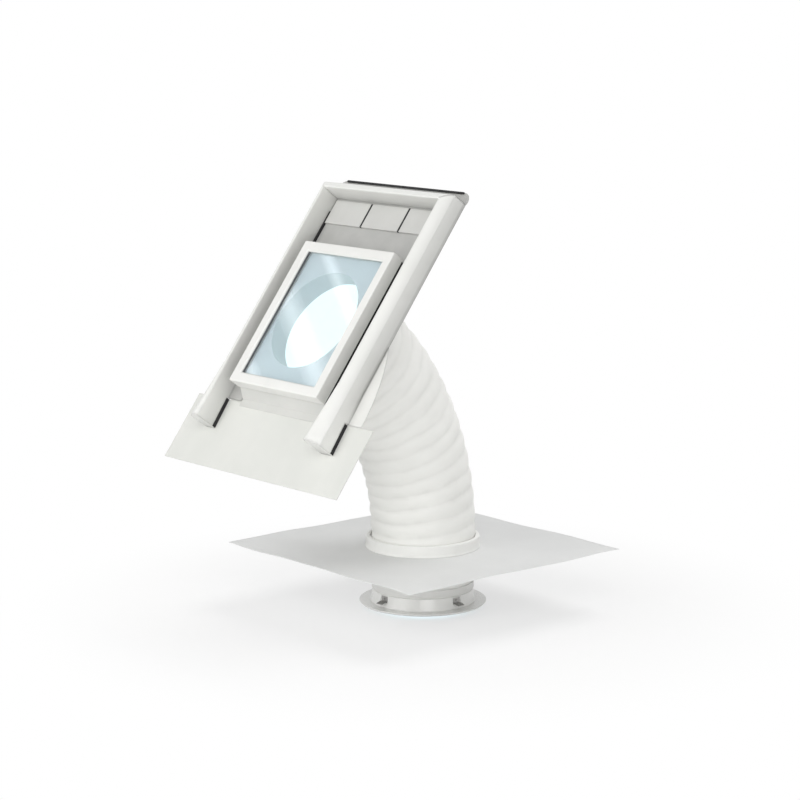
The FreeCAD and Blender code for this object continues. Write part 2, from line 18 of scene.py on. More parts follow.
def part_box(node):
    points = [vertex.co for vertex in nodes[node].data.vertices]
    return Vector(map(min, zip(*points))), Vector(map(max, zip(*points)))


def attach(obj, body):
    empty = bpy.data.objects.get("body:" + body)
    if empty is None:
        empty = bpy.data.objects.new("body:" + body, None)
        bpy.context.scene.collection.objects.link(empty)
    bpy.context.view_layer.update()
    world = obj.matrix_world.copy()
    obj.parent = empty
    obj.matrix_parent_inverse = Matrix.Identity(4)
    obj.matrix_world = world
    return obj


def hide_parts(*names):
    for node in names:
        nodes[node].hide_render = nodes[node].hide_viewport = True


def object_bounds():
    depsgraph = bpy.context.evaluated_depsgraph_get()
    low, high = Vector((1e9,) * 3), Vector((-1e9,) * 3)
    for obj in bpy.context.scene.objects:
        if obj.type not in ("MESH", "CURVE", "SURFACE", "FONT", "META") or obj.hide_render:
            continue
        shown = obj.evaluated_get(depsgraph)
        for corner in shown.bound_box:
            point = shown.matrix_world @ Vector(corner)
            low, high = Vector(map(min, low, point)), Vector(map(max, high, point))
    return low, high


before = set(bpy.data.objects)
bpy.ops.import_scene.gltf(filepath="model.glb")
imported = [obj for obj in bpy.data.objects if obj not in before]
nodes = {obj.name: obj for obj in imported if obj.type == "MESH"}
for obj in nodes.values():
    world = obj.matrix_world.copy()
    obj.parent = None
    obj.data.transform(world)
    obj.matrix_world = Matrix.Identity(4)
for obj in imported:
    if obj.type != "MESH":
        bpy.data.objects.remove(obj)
cad_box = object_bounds()
scene = bpy.context.scene
scene.view_settings.view_transform = "Standard"
print("loaded", len(nodes), "CAD nodes; box in metres:", [list(map(float, c)) for c in cad_box])

# %% [markdown]
# ## Camera
# The picture was taken from a little above, turned 49 degrees from the eaves, with
# a long lens that keeps the sides nearly parallel. A camera could be placed by
# hand, but it is easier to repeat from its two angles, its distance and the point
# that it looks at.

# %% Camera at the picture's angle
CAMERA_AZIMUTH = math.radians(49.24)
CAMERA_ELEVATION = math.radians(10.1)
CAMERA_DISTANCE = 8.4
CAMERA_LENS = 110.0
CAMERA_SENSOR = 36.0
CAMERA_TARGET = Vector((0.0675, -0.165, 0.744))


def outward(azimuth, elevation):
    """Direction from the object to a viewer; azimuth 0 looks along +Y."""
    level = math.cos(elevation)
    return Vector((math.sin(azimuth) * level, -math.cos(azimuth) * level, math.sin(elevation)))


camera_data = bpy.data.cameras.new("camera")
camera_data.lens = CAMERA_LENS
camera_data.sensor_width = CAMERA_SENSOR
camera = bpy.data.objects.new("camera", camera_data)
scene.collection.objects.link(camera)
to_camera = outward(CAMERA_AZIMUTH, CAMERA_ELEVATION)
camera.location = CAMERA_TARGET + to_camera * CAMERA_DISTANCE
camera.rotation_mode = "QUATERNION"
camera.rotation_quaternion = (-to_camera).to_track_quat("-Z", "Y")
scene.camera = camera
print("camera at", tuple(round(x, 3) for x in camera.location))

# %% [markdown]
# ## Floor, background and light
# The object stands in a white studio. The floor is a pale plane just under the
# diffuser. The camera sees it and the world as plain white, also in mirrors and
# through glass, with a soft shadow left on the floor. The light on the object itself
# comes from an even, dimmer world and four large soft lamps, so colours render about
# as they are written. First come small helpers that add and link single nodes.

# %% Helpers for nodes
def link(tree, source, target):
    tree.links.new(source, target)


def fill_socket(tree, socket, value):
    """Links another node's output to a socket, or types a fixed value into it."""
    if hasattr(value, "is_output"):
        link(tree, value, socket)
    else:
        socket.default_value = value


def calc(tree, operation, *values):
    """One Math node on sockets and numbers."""
    node = tree.nodes.new("ShaderNodeMath")
    node.operation = operation
    for socket, value in zip(node.inputs, values):
        fill_socket(tree, socket, value)
    return node.outputs[0]


def vector_step(tree, operation, first, second=None):
    """One Vector Math node on a socket and, where it takes one, a fixed vector."""
    node = tree.nodes.new("ShaderNodeVectorMath")
    node.operation = operation
    link(tree, first, node.inputs[0])
    if second is not None:
        node.inputs[1].default_value = second
    return node.outputs["Value" if operation in ("LENGTH", "DOT_PRODUCT") else "Vector"]


def spread(tree, value, low, high, to_low, to_high, ease="LINEAR"):
    """One Map Range node: the span from low to high becomes that from to_low to to_high."""
    node = tree.nodes.new("ShaderNodeMapRange")
    node.interpolation_type = ease
    link(tree, value, node.inputs["Value"])
    span = {"From Min": low, "From Max": high, "To Min": to_low, "To Max": to_high}
    for label, limit in span.items():
        fill_socket(tree, node.inputs[label], limit)
    return node.outputs["Result"]


def object_place(tree):
    """Where a point of the surface lies, in the object's own coordinates."""
    return tree.nodes.new("ShaderNodeTexCoord").outputs["Object"]


# %% World
BACKGROUND = 1.0
SKY_LIGHT = 0.44
PLAIN_WHITE = (1.0, 1.0, 1.0, 1.0)


def shown(tree):
    """1 for what the camera sees straight, mirrored or through glass, and 0 for other light."""
    ray = tree.nodes.new("ShaderNodeLightPath").outputs
    mirrored = calc(tree, "MAXIMUM", ray["Is Glossy Ray"], ray["Is Transmission Ray"])
    return calc(tree, "MAXIMUM", ray["Is Camera Ray"], mirrored)


world = bpy.data.worlds.new("studio")
world.use_nodes = True
scene.world = world
sky = world.node_tree
sky.nodes.clear()
white = sky.nodes.new("ShaderNodeBackground")
white.inputs["Color"].default_value = PLAIN_WHITE
link(sky, spread(sky, shown(sky), 0.0, 1.0, SKY_LIGHT, BACKGROUND), white.inputs["Strength"])
sky_out = sky.nodes.new("ShaderNodeOutputWorld")
link(sky, white.outputs["Background"], sky_out.inputs["Surface"])
print("world: light", SKY_LIGHT, "background", BACKGROUND)

# %% Floor
FLOOR_GAP = 0.0006
FLOOR_SIZE = 60.0
FLOOR_GREY = (0.93, 0.93, 0.93, 1.0)
FLOOR_SHADOW = 0.42
SHADOW_REACH = 0.55, 1.5

floor_z = cad_box[0].z - FLOOR_GAP
half = FLOOR_SIZE / 2
floor_corners = [(x * half, y * half, floor_z) for x, y in ((-1, -1), (1, -1), (1, 1), (-1, 1))]
floor_mesh = bpy.data.meshes.new("floor")
floor_mesh.from_pydata(floor_corners, [], [(0, 1, 2, 3)])
floor = bpy.data.objects.new("floor", floor_mesh)
scene.collection.objects.link(floor)
floor_paint = bpy.data.materials.new("studio_floor")
floor_paint.use_nodes = True
paint = floor_paint.node_tree
paint.nodes.clear()
matt = paint.nodes.new("ShaderNodeBsdfDiffuse")
matt.inputs["Color"].default_value = FLOOR_GREY
glow = paint.nodes.new("ShaderNodeEmission")
blend = paint.nodes.new("ShaderNodeMixShader")
floor_out = paint.nodes.new("ShaderNodeOutputMaterial")
from_middle = vector_step(paint, "LENGTH", object_place(paint))
whitening = spread(paint, from_middle, *SHADOW_REACH, 1.0 - FLOOR_SHADOW, 1.0, "SMOOTHSTEP")
link(paint, calc(paint, "MULTIPLY", shown(paint), whitening), blend.inputs["Fac"])
link(paint, matt.outputs[0], blend.inputs[1])
link(paint, glow.outputs[0], blend.inputs[2])
link(paint, blend.outputs[0], floor_out.inputs["Surface"])
floor_mesh.materials.append(floor_paint)
print("floor at height", round(floor_z, 4))

# %% Lamps
LAMPS = {
    "key": {"place": (-0.4, -5.4, 2.5), "size": (4.0, 4.0), "power": 130.0},
    "fill": {"place": (5.7, -5.3, 5.5), "size": (4.0, 3.0), "power": 155.0},
    "low_fill": {"place": (7.9, -4.6, 0.45), "size": (4.0, 0.8), "power": 100.0},
    "back": {"place": (0.4, 3.0, 5.2), "size": (4.0, 3.0), "power": 125.0},
}
LAMP_TARGET = Vector((0.0, -0.2, 0.7))


def lamp(name, place, size, power, turn=None):
    """A rectangular lamp; with no turn given, it faces the object."""
    data = bpy.data.lights.new(name, "AREA")
    data.shape = "RECTANGLE"
    data.size, data.size_y = size
    data.energy = power
    made = bpy.data.objects.new(name, data)
    scene.collection.objects.link(made)
    if turn is None:
        turn = (LAMP_TARGET - Vector(place)).to_track_quat("-Z", "Y")
    made.location = place
    made.rotation_mode = "QUATERNION"
    made.rotation_quaternion = turn
    return made


for lamp_name, lamp_facts in LAMPS.items():
    lamp(lamp_name, **lamp_facts)
print("lamps:", ", ".join(LAMPS))

# %% [markdown]
# Long thin lamps stand where the glass mirrors them into the camera. They give the
# pane slanting streaks of glare, as a window with bars gives them on real glass.
# Their place follows from the pane's own plane: the view direction is mirrored
# about the pane's normal, and each lamp lies across the slope at an angle. What
# is mirrored stands further off than the pane, so the spacing grows with it. Each
# streak has a shift across the pane and a width. It is a few strips of different
# widths, one behind the other, so that it fades out at its sides.

# %% Glare on the glass
ROOF_PITCH = math.radians(53.0)
UP_SLOPE = Vector((0.0, math.cos(ROOF_PITCH), math.sin(ROOF_PITCH)))
ROOF_NORMAL = Vector((0.0, -math.sin(ROOF_PITCH), math.cos(ROOF_PITCH)))
EAVES = Vector((1.0, 0.0, 0.0))
GLARE_DISTANCE = 3.0
GLARE_TURN = math.radians(36.0)
STREAK_LENGTH = 2.0
STREAK_GLOW = 2.3
STRIP_WIDTHS = 0.45, 0.95, 1.45, 1.95
STRIP_GAP = 0.02
STREAKS = {
    "upper_streak": (0.135, 0.026),
    "middle_streak": (-0.063, 0.052),
    "lower_streak": (-0.279, 0.026),
}

pane_low, pane_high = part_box("glass_pane")
pane_middle = (pane_low + pane_high) / 2
sight = (pane_middle - camera.location).normalized()
bounced = sight - 2 * sight.dot(ROOF_NORMAL) * ROOF_NORMAL
growth = (CAMERA_DISTANCE + GLARE_DISTANCE) / CAMERA_DISTANCE
along = EAVES * math.cos(GLARE_TURN) - UP_SLOPE * math.sin(GLARE_TURN)
aside = EAVES * math.sin(GLARE_TURN) + UP_SLOPE * math.cos(GLARE_TURN)
across = along.cross(-bounced).normalized()
upright = bounced.cross(across)
strip_turn = Matrix((across, upright, bounced)).transposed().to_quaternion()
strip_glow = STREAK_GLOW / len(STRIP_WIDTHS) * math.pi
for streak, (shift, width) in STREAKS.items():
    nearest = pane_middle + bounced * GLARE_DISTANCE + aside * shift * growth
    for k, share in enumerate(STRIP_WIDTHS):
        strip_width = width * share * growth
        power = strip_glow * strip_width * STREAK_LENGTH
        strip_place = nearest + bounced * STRIP_GAP * k
        strip = lamp(streak, strip_place, (strip_width, STREAK_LENGTH), power, strip_turn)
        strip.visible_diffuse = False
print("glare streaks:", len(STREAKS), "of", len(STRIP_WIDTHS), "strips each")

# %% [markdown]
# ## Finishes
# No surface of a real product is one flat colour. Mouldings have a fine grain and
# faint cloudy patches, and their gloss varies a little with them. That effect is
# shared by most finishes here, so it is one shader node group, placed in each
# material with its own sizes. The group gives out a colour, a roughness and a
# height, and the shader itself stays in each material. Most values of a noise lie in
# a band about its middle, so that band is spread over the whole change of tone.

# %% Helpers for groups, noise and colour
def group_tree(name, kind, inputs, outputs):
    """A new node group with the named sockets; returns it and its two end nodes."""
    tree = bpy.data.node_groups.new(name, kind)
    for label, socket in inputs:
        tree.interface.new_socket(label, in_out="INPUT", socket_type=socket)
    for label, socket in outputs:
        tree.interface.new_socket(label, in_out="OUTPUT", socket_type=socket)
    return tree, tree.nodes.new("NodeGroupInput"), tree.nodes.new("NodeGroupOutput")


def noise(tree, vector, scale, detail=3.0, roughness=0.55):
    node = tree.nodes.new("ShaderNodeTexNoise")
    link(tree, vector, node.inputs["Vector"])
    fill_socket(tree, node.inputs["Scale"], scale)
    node.inputs["Detail"].default_value = detail
    node.inputs["Roughness"].default_value = roughness
    return node.outputs[0]


def mix_colour(tree, share, first, second):
    node = tree.nodes.new("ShaderNodeMix")
    node.data_type = "RGBA"
    sockets = [s for s in node.inputs if s.type == "RGBA"]
    fill_socket(tree, node.inputs[0], share)
    fill_socket(tree, sockets[0], first)
    fill_socket(tree, sockets[1], second)
    return next(s for s in node.outputs if s.type == "RGBA")


# %% Cloudy grain, shared by the mouldings and sheets
COLOUR, NUMBER, VECTOR = "NodeSocketColor", "NodeSocketFloat", "NodeSocketVector"
PATCH_BAND = 0.35, 0.68
CLOUD_BAND = 0.35, 0.65
GRAIN_BAND = 0.3, 0.7
CLOUD_DETAIL = 4.0
GRAIN_DETAIL, GRAIN_ROUGHNESS = 5.0, 0.6

cloudy_grain, start, end = group_tree(
    "cloudy_grain",
    "ShaderNodeTree",
    [
        ("Vector", VECTOR),
        ("Colour", COLOUR),
        ("Shade", COLOUR),
        ("Patch Scale", NUMBER),
        ("Grain Scale", NUMBER),
        ("Smoothest", NUMBER),
        ("Roughest", NUMBER),
    ],
    [("Colour", COLOUR), ("Roughness", NUMBER), ("Height", NUMBER)],
)
given = start.outputs
patches = noise(cloudy_grain, given["Vector"], given["Patch Scale"], CLOUD_DETAIL)
cloud = spread(cloudy_grain, patches, *PATCH_BAND, 0.0, 1.0)
tone = mix_colour(cloudy_grain, cloud, given["Colour"], given["Shade"])
grain = noise(cloudy_grain, given["Vector"], given["Grain Scale"], GRAIN_DETAIL, GRAIN_ROUGHNESS)
gloss = spread(cloudy_grain, grain, *GRAIN_BAND, given["Smoothest"], given["Roughest"])
link(cloudy_grain, tone, end.inputs["Colour"])
link(cloudy_grain, gloss, end.inputs["Roughness"])
link(cloudy_grain, grain, end.inputs["Height"])
print("node group:", cloudy_grain.name)

# %% [markdown]
# A moulded edge is never knife sharp. The Bevel node rounds the shading of an
# edge over a millimetre or two without touching the CAD mesh, so edges catch a
# thin line of light. The grain then goes on top of that as a fine bump.

# %% A material with cloudy grain
EDGE_SAMPLES = 6
GRAIN_BUMP = 0.35
COAT_ROUGHNESS = 0.22


def new_material(name):
    made = bpy.data.materials.new(name)
    made.use_nodes = True
    return made, made.node_tree, made.node_tree.nodes["Principled BSDF"]


def place_group(tree, group, values):
    """Puts a node group into a material, with its own values and the place on the object."""
    node = tree.nodes.new("ShaderNodeGroup")
    node.node_tree = group
    link(tree, object_place(tree), node.inputs["Vector"])
    for label, value in values.items():
        fill_socket(tree, node.inputs[label], value)
    return node.outputs


def bump(tree, height, strength, distance, normal=None):
    node = tree.nodes.new("ShaderNodeBump")
    node.inputs["Strength"].default_value = strength
    node.inputs["Distance"].default_value = distance
    link(tree, height, node.inputs["Height"])
    if normal is not None:
        link(tree, normal, node.inputs["Normal"])
    return node.outputs["Normal"]


def rounded_edges(tree, radius):
    node = tree.nodes.new("ShaderNodeBevel")
    node.samples = EDGE_SAMPLES
    node.inputs["Radius"].default_value = radius
    return node.outputs["Normal"]


def rgba(colour):
    return (*colour, 1.0)


def grained(name, colour, shade, patch, grain, gloss, depth, edge=0.0, coat=0.0):
    """A moulding or coated sheet: cloudy colour, fine grain and softly rounded edges."""
    made, tree, shader = new_material(name)
    values = {
        "Colour": rgba(colour),
        "Shade": rgba(shade),
        "Patch Scale": patch,
        "Grain Scale": grain,
        "Smoothest": gloss[0],
        "Roughest": gloss[1],
    }
    effect = place_group(tree, cloudy_grain, values)
    soft = rounded_edges(tree, edge) if edge else None
    link(tree, effect["Colour"], shader.inputs["Base Color"])
    link(tree, effect["Roughness"], shader.inputs["Roughness"])
    link(tree, bump(tree, effect["Height"], GRAIN_BUMP, depth, soft), shader.inputs["Normal"])
    if coat:
        shader.inputs["Coat Weight"].default_value = coat
        shader.inputs["Coat Roughness"].default_value = COAT_ROUGHNESS
    return made

# %% [markdown]
# Finishes of one kind share their grain: mouldings, coated sheets and rubber. Each has its own colour
# and the shade of its patches. The ring is the glossiest, and it is painted lighter than the other
# mouldings, as painted light against the membrane's shade. The rounded borders have the widest soft
# edge.

# %% Grained finishes
MOULDED = {"patch": 9.0, "grain": 900.0, "depth": 0.0002, "edge": 0.0015}
COATED = {"patch": 5.0, "grain": 600.0, "gloss": (0.36, 0.5), "depth": 0.0002, "coat": 0.2}
RUBBERY = {"patch": 30.0, "grain": 1200.0, "gloss": (0.55, 0.75), "depth": 0.0002}
WHITE_TONES = (0.80, 0.80, 0.775), (0.765, 0.765, 0.74)
FLASHING_TONES = (0.79, 0.79, 0.765), (0.75, 0.755, 0.725)
WHITE_GLOSS = {"gloss": (0.30, 0.42), "coat": 0.15}
BORDER_SOFTNESS, SHEET_SOFTNESS = 0.008, 0.0012
DULL_SPECULAR = 0.2

white_moulding = grained("white_moulding", *WHITE_TONES, **WHITE_GLOSS, **MOULDED)
lined_moulding = grained("lined_moulding", *WHITE_TONES, **WHITE_GLOSS, **MOULDED)
# The ring's gloss is its own; its lighter tone is painted light that lifts it out of the membrane's
# shade.
gloss_moulding_painted_light = grained(
    "gloss_moulding_painted_light", (0.87, 0.87, 0.845), (0.835, 0.835, 0.81), gloss=(0.24, 0.34), coat=0.5, **MOULDED
)
coated_sheet = grained("coated_sheet", *FLASHING_TONES, edge=BORDER_SOFTNESS, **COATED)
tray_sheet = grained("tray_sheet", *FLASHING_TONES, edge=SHEET_SOFTNESS, **COATED)
# The sill's sheet is a darker copy of the flashing's coated sheet: painted shade on the sill.
sill_sheet_painted_shade = grained(
    "sill_sheet_painted_shade", (0.62, 0.62, 0.595), (0.585, 0.59, 0.565), edge=SHEET_SOFTNESS, **COATED
)
apron_sheet = grained(
    "apron_sheet", (0.715, 0.72, 0.685), (0.665, 0.675, 0.64),
    patch=4.0, grain=260.0, gloss=(0.52, 0.66), depth=0.0004, edge=0.0010,
)
soft_collar = grained(
    "soft_collar", (0.87, 0.87, 0.845), (0.83, 0.83, 0.805),
    patch=12.0, grain=500.0, gloss=(0.5, 0.62), depth=0.0002, edge=0.002,
)
satin_reflector = grained(
    "satin_reflector", (0.42, 0.449, 0.466), (0.395, 0.421, 0.438),
    patch=6.0, grain=420.0, gloss=(0.32, 0.46), depth=0.0001,
)
grey_foam = grained(
    "grey_foam", (0.62, 0.62, 0.61), (0.5, 0.5, 0.49),
    patch=60.0, grain=420.0, gloss=(0.8, 0.95), depth=0.0008,
)
grey_rubber = grained("grey_rubber", (0.105, 0.112, 0.116), (0.13, 0.136, 0.14), **RUBBERY)
# Black rubber for the head seal; the same near-black with dull specular is painted shade on the strips
# set into the gaps of the tray, the kerb and the borders' feet.
black_seal_and_gap_shade = grained("black_seal_and_gap_shade", (0.022, 0.022, 0.023), (0.035, 0.035, 0.035), **RUBBERY)
dull = black_seal_and_gap_shade.node_tree.nodes["Principled BSDF"]
dull.inputs["Specular IOR Level"].default_value = DULL_SPECULAR
print("finishes with cloudy grain:", cloudy_grain.users)

# %% [markdown]
# The tray and gutters of the flashing are painted greyer than its crests. This is painted shade for the
# light that the borders and the cap keep from the low parts, darkest on the tray's floor. How high a
# point lies above the roof says how much: its place, measured from a point of the roof, along the
# roof's normal. A little noise keeps the line between shaded and unshaded parts from being straight.
# Past the borders' outer edge the sheet stays unshaded. Two finishes use it, the rounded borders and
# the head with its tray, so it is a node group too.

# %% Painted shade low on the flashing
PANE_ABOVE_ROOF = 0.0775
LOW_SHADE_TONE = (0.55, 0.55, 0.53, 1.0)
DEEP_SHADE_TONE = (0.42, 0.42, 0.405, 1.0)
SHADED_HEIGHT, UNSHADED_HEIGHT = 0.010, 0.085
TRAY_FLOOR_HEIGHT, TRAY_PANEL_HEIGHT = 0.009, 0.015
BORDER_EDGE = 0.337, 0.345
SHADE_PATCHES = 11.0
FAINTEST_SHADE = 0.8

# Painted shade: the colour goes greyer towards the roof and is darkest on the tray's floor.
painted_low_shade, start, end = group_tree(
    "painted_low_shade",
    "ShaderNodeTree",
    [("Vector", VECTOR), ("Colour", COLOUR), ("Painted Shade", COLOUR), ("Deep Painted Shade", COLOUR)],
    [("Colour", COLOUR)],
)
given = start.outputs
roof_point = pane_middle - ROOF_NORMAL * PANE_ABOVE_ROOF
from_roof = vector_step(painted_low_shade, "SUBTRACT", given["Vector"], roof_point)
height = vector_step(painted_low_shade, "DOT_PRODUCT", from_roof, ROOF_NORMAL)
sideways = vector_step(painted_low_shade, "DOT_PRODUCT", given["Vector"], EAVES)
low = spread(painted_low_shade, height, SHADED_HEIGHT, UNSHADED_HEIGHT, 1.0, 0.0)
mottle = noise(painted_low_shade, given["Vector"], SHADE_PATCHES, CLOUD_DETAIL)
uneven = spread(painted_low_shade, mottle, *GRAIN_BAND, FAINTEST_SHADE, 1.0)
sheltered = spread(painted_low_shade, calc(painted_low_shade, "ABSOLUTE", sideways), *BORDER_EDGE, 1.0, 0.0)
shade_amount = calc(painted_low_shade, "MULTIPLY", calc(painted_low_shade, "MULTIPLY", low, uneven), sheltered)
deep = spread(painted_low_shade, height, TRAY_FLOOR_HEIGHT, TRAY_PANEL_HEIGHT, 1.0, 0.0)
shade_tone = mix_colour(painted_low_shade, deep, given["Painted Shade"], given["Deep Painted Shade"])
link(painted_low_shade, mix_colour(painted_low_shade, shade_amount, given["Colour"], shade_tone), end.inputs["Colour"])
# Both flashing finishes get this painted shade mixed into their base colour.
for flashing in (coated_sheet, tray_sheet):
    tree = flashing.node_tree
    base = tree.nodes["Principled BSDF"].inputs["Base Color"]
    values = {"Colour": base.links[0].from_socket, "Painted Shade": LOW_SHADE_TONE, "Deep Painted Shade": DEEP_SHADE_TONE}
    link(tree, place_group(tree, painted_low_shade, values)["Colour"], base)
print("node group:", painted_low_shade.name)

# %% [markdown]
# Rolled metal is the other finish with a group of its own. Rolling leaves fine
# parallel lines in spring steel. Noise that is stretched along one axis makes such
# lines, in the roughness and as a bump. The reflector isn't bare metal: it has a
# satin coat that spreads the light into the duct, so it is a grained sheet above.

# %% Rolled metal
ROLLING_STRETCH = (1.0, 0.03, 0.03)
LINE_ROUGHNESS = 0.65
LINE_BUMP = 0.3

rolled_lines, start, end = group_tree(
    "rolled_lines",
    "ShaderNodeTree",
    [("Vector", VECTOR), ("Line Scale", NUMBER), ("Smoothest", NUMBER), ("Roughest", NUMBER)],
    [("Roughness", NUMBER), ("Height", NUMBER)],
)
given = start.outputs
stretched = vector_step(rolled_lines, "MULTIPLY", given["Vector"], ROLLING_STRETCH)
lines = noise(rolled_lines, stretched, given["Line Scale"], CLOUD_DETAIL, LINE_ROUGHNESS)
shine = spread(rolled_lines, lines, *GRAIN_BAND, given["Smoothest"], given["Roughest"])
link(rolled_lines, shine, end.inputs["Roughness"])
link(rolled_lines, lines, end.inputs["Height"])


def rolled(name, colour, line_scale, gloss, depth):
    made, tree, shader = new_material(name)
    values = {"Line Scale": line_scale, "Smoothest": gloss[0], "Roughest": gloss[1]}
    effect = place_group(tree, rolled_lines, values)
    shader.inputs["Base Color"].default_value = rgba(colour)
    shader.inputs["Metallic"].default_value = 1.0
    link(tree, effect["Roughness"], shader.inputs["Roughness"])
    link(tree, bump(tree, effect["Height"], LINE_BUMP, depth), shader.inputs["Normal"])
    return made


spring_steel = rolled(
    "spring_steel", (0.36, 0.355, 0.345), line_scale=1500.0, gloss=(0.22, 0.4), depth=0.0001
)
print("metal finish:", spring_steel.name)

# %% [markdown]
# The pane is toughened glass with a faint blue tint. Light has to pass through it
# to the tray below, so shadow rays go straight through: a Light Path switch mixes
# in a clear shader for them alone.

# %% Glass
GLASS = {
    "Base Color": (0.86, 0.93, 0.95, 1.0),
    "Roughness": 0.01,
    "IOR": 1.3,
    "Transmission Weight": 1.0,
    "Coat Weight": 0.4,
    "Coat Roughness": 0.06,
}
GLASS_SHADOW = (0.92, 0.955, 0.965, 1.0)


def set_values(shader, values):
    for label, value in values.items():
        shader.inputs[label].default_value = value


glass, tree, shader = new_material("pane_glass")
set_values(shader, GLASS)
clear = tree.nodes.new("ShaderNodeBsdfTransparent")
clear.inputs["Color"].default_value = GLASS_SHADOW
glass_ray = tree.nodes.new("ShaderNodeLightPath")
pass_through = tree.nodes.new("ShaderNodeMixShader")
link(tree, glass_ray.outputs["Is Shadow Ray"], pass_through.inputs["Fac"])
link(tree, shader.outputs[0], pass_through.inputs[1])
link(tree, clear.outputs[0], pass_through.inputs[2])
link(tree, pass_through.outputs[0], tree.nodes["Material Output"].inputs["Surface"])
print("glass:", glass.name)

# %% [markdown]
# The diffuser is frosted acrylic with a cool tint. A field of tiny prisms is pressed into it to scatter
# the light, which Voronoi cells make as a bump. A faint painted glow stands in for the daylight that
# comes down the duct.

# %% Frosted diffuser
FROST_TONES = (0.70, 0.90, 0.97, 1.0), (0.64, 0.86, 0.95, 1.0)
FROST_PATCHES = 14.0
PRISM_SCALE = 260.0
PRISM_BUMP, PRISM_DEPTH = 0.25, 0.0006
FROST_AND_PAINTED_GLOW = {"Emission Strength": 0.5, "Roughness": 0.38, "Coat Weight": 0.3}

frosted, tree, shader = new_material("frosted_acrylic")
place = object_place(tree)
prisms = tree.nodes.new("ShaderNodeTexVoronoi")
prisms.inputs["Scale"].default_value = PRISM_SCALE
link(tree, place, prisms.inputs["Vector"])
cloud = spread(tree, noise(tree, place, FROST_PATCHES), *GRAIN_BAND, 0.0, 1.0)
frost = mix_colour(tree, cloud, *FROST_TONES)
link(tree, frost, shader.inputs["Base Color"])
# Painted glow: the diffuser's own colour is used as emission, though it is no lamp.
link(tree, frost, shader.inputs["Emission Color"])
link(tree, bump(tree, prisms.outputs["Distance"], PRISM_BUMP, PRISM_DEPTH), shader.inputs["Normal"])
set_values(shader, FROST_AND_PAINTED_GLOW)
print("diffuser:", frosted.name)

# %% [markdown]
# The neck is a white moulding, but the duct's lining goes on up its bore to the tray's throat. The bore
# is picked out by how far a point lies from the axis of the neck: the length of its cross product with
# the axis. In the bore the colour is that of the lining, with the same painted glow that stands in for
# the daylight that comes in.

# %% Lined neck
LINING_SILVER = (0.20, 0.225, 0.225, 1.0), (0.185, 0.21, 0.21, 1.0)
LINING_PAINTED_GLOW_TONES = (0.86, 1.0, 1.0, 1.0), (0.835, 0.985, 0.985, 1.0)
LINING_PAINTED_GLOW = 0.95
FOIL_SCALE = 40.0
LINED_RADIUS = 0.1887
UNLIT = (0.0, 0.0, 0.0, 1.0)


def lining_colours(tree, place):
    """Colour, painted glow and crinkle of the lining."""
    foil = noise(tree, place, FOIL_SCALE, GRAIN_DETAIL, GRAIN_ROUGHNESS)
    patches = spread(tree, foil, *GRAIN_BAND, 0.0, 1.0)
    silver = mix_colour(tree, patches, *LINING_SILVER)
    painted_glow = mix_colour(tree, patches, *LINING_PAINTED_GLOW_TONES)
    return silver, painted_glow, foil


tree = lined_moulding.node_tree
shader = tree.nodes["Principled BSDF"]
place = object_place(tree)
from_pane = vector_step(tree, "SUBTRACT", place, pane_middle)
off_axis = vector_step(tree, "CROSS_PRODUCT", from_pane, ROOF_NORMAL)
in_bore = calc(tree, "LESS_THAN", vector_step(tree, "LENGTH", off_axis), LINED_RADIUS)
silver, painted_glow, foil = lining_colours(tree, place)
moulded = shader.inputs["Base Color"].links[0].from_socket
link(tree, mix_colour(tree, in_bore, moulded, silver), shader.inputs["Base Color"])
link(tree, mix_colour(tree, in_bore, UNLIT, painted_glow), shader.inputs["Emission Color"])
# Painted light: the bore glows though it is no lamp.
shader.inputs["Emission Strength"].default_value = LINING_PAINTED_GLOW
print("neck:", lined_moulding.name)

# %% [markdown]
# ## Finishes on the CAD pieces
# A CAD piece whose shape is right keeps its mesh and only changes its material.

# %% Dress the CAD nodes
FINISHES = {
    white_moulding: ["glazing_cap", "kerb_frame", "duct_head_cuff", "duct_foot_band"],
    lined_moulding: ["tunnel_neck"],
    gloss_moulding_painted_light: ["ceiling_ring"],
    coated_sheet: ["side_flashing_left", "side_flashing_right"],
    tray_sheet: ["head_flashing"],
    sill_sheet_painted_shade: ["sill_flashing"],
    apron_sheet: ["apron_skirt"],
    # The tray, kerb and foot strips are black pieces where there is only shade: painted shade. The head
    # seal is a rubber seal.
    black_seal_and_gap_shade: ["head_seal", "tray_seals", "kerb_seals", "foot_seals"],
    grey_rubber: ["glazing_gasket"],
    grey_foam: ["diffuser_seal"],
    satin_reflector: ["reflector_tray"],
    spring_steel: [f"ceiling_clip_{n}" for n in range(1, 5)] + ["clip_screws", "neck_screws"],
    glass: ["glass_pane"],
    frosted: ["diffuser_inner_lens"],
}
for finish, names in FINISHES.items():
    for name in names:
        nodes[name].data.materials.clear()
        nodes[name].data.materials.append(finish)
print("dressed", sum(len(names) for names in FINISHES.values()), "CAD nodes")

# %% [markdown]
# ## Flexible duct
# The duct is a thin white sleeve over a coiled wire, with a bright lining. Between
# the turns of the wire the sleeve bulges, and along the wire it is drawn into a
# narrow crease that climbs round the duct. The shape follows a rule, so Geometry
# Nodes make it from a flat grid: one side of the grid runs along the duct, up the
# outside and down the inside, and the other runs round it. The rule bends the
# line, widens it towards the roof, and adds the bulges, the creases and some
# wrinkles. Its inputs repeat the CAD part's sizes, in metres.

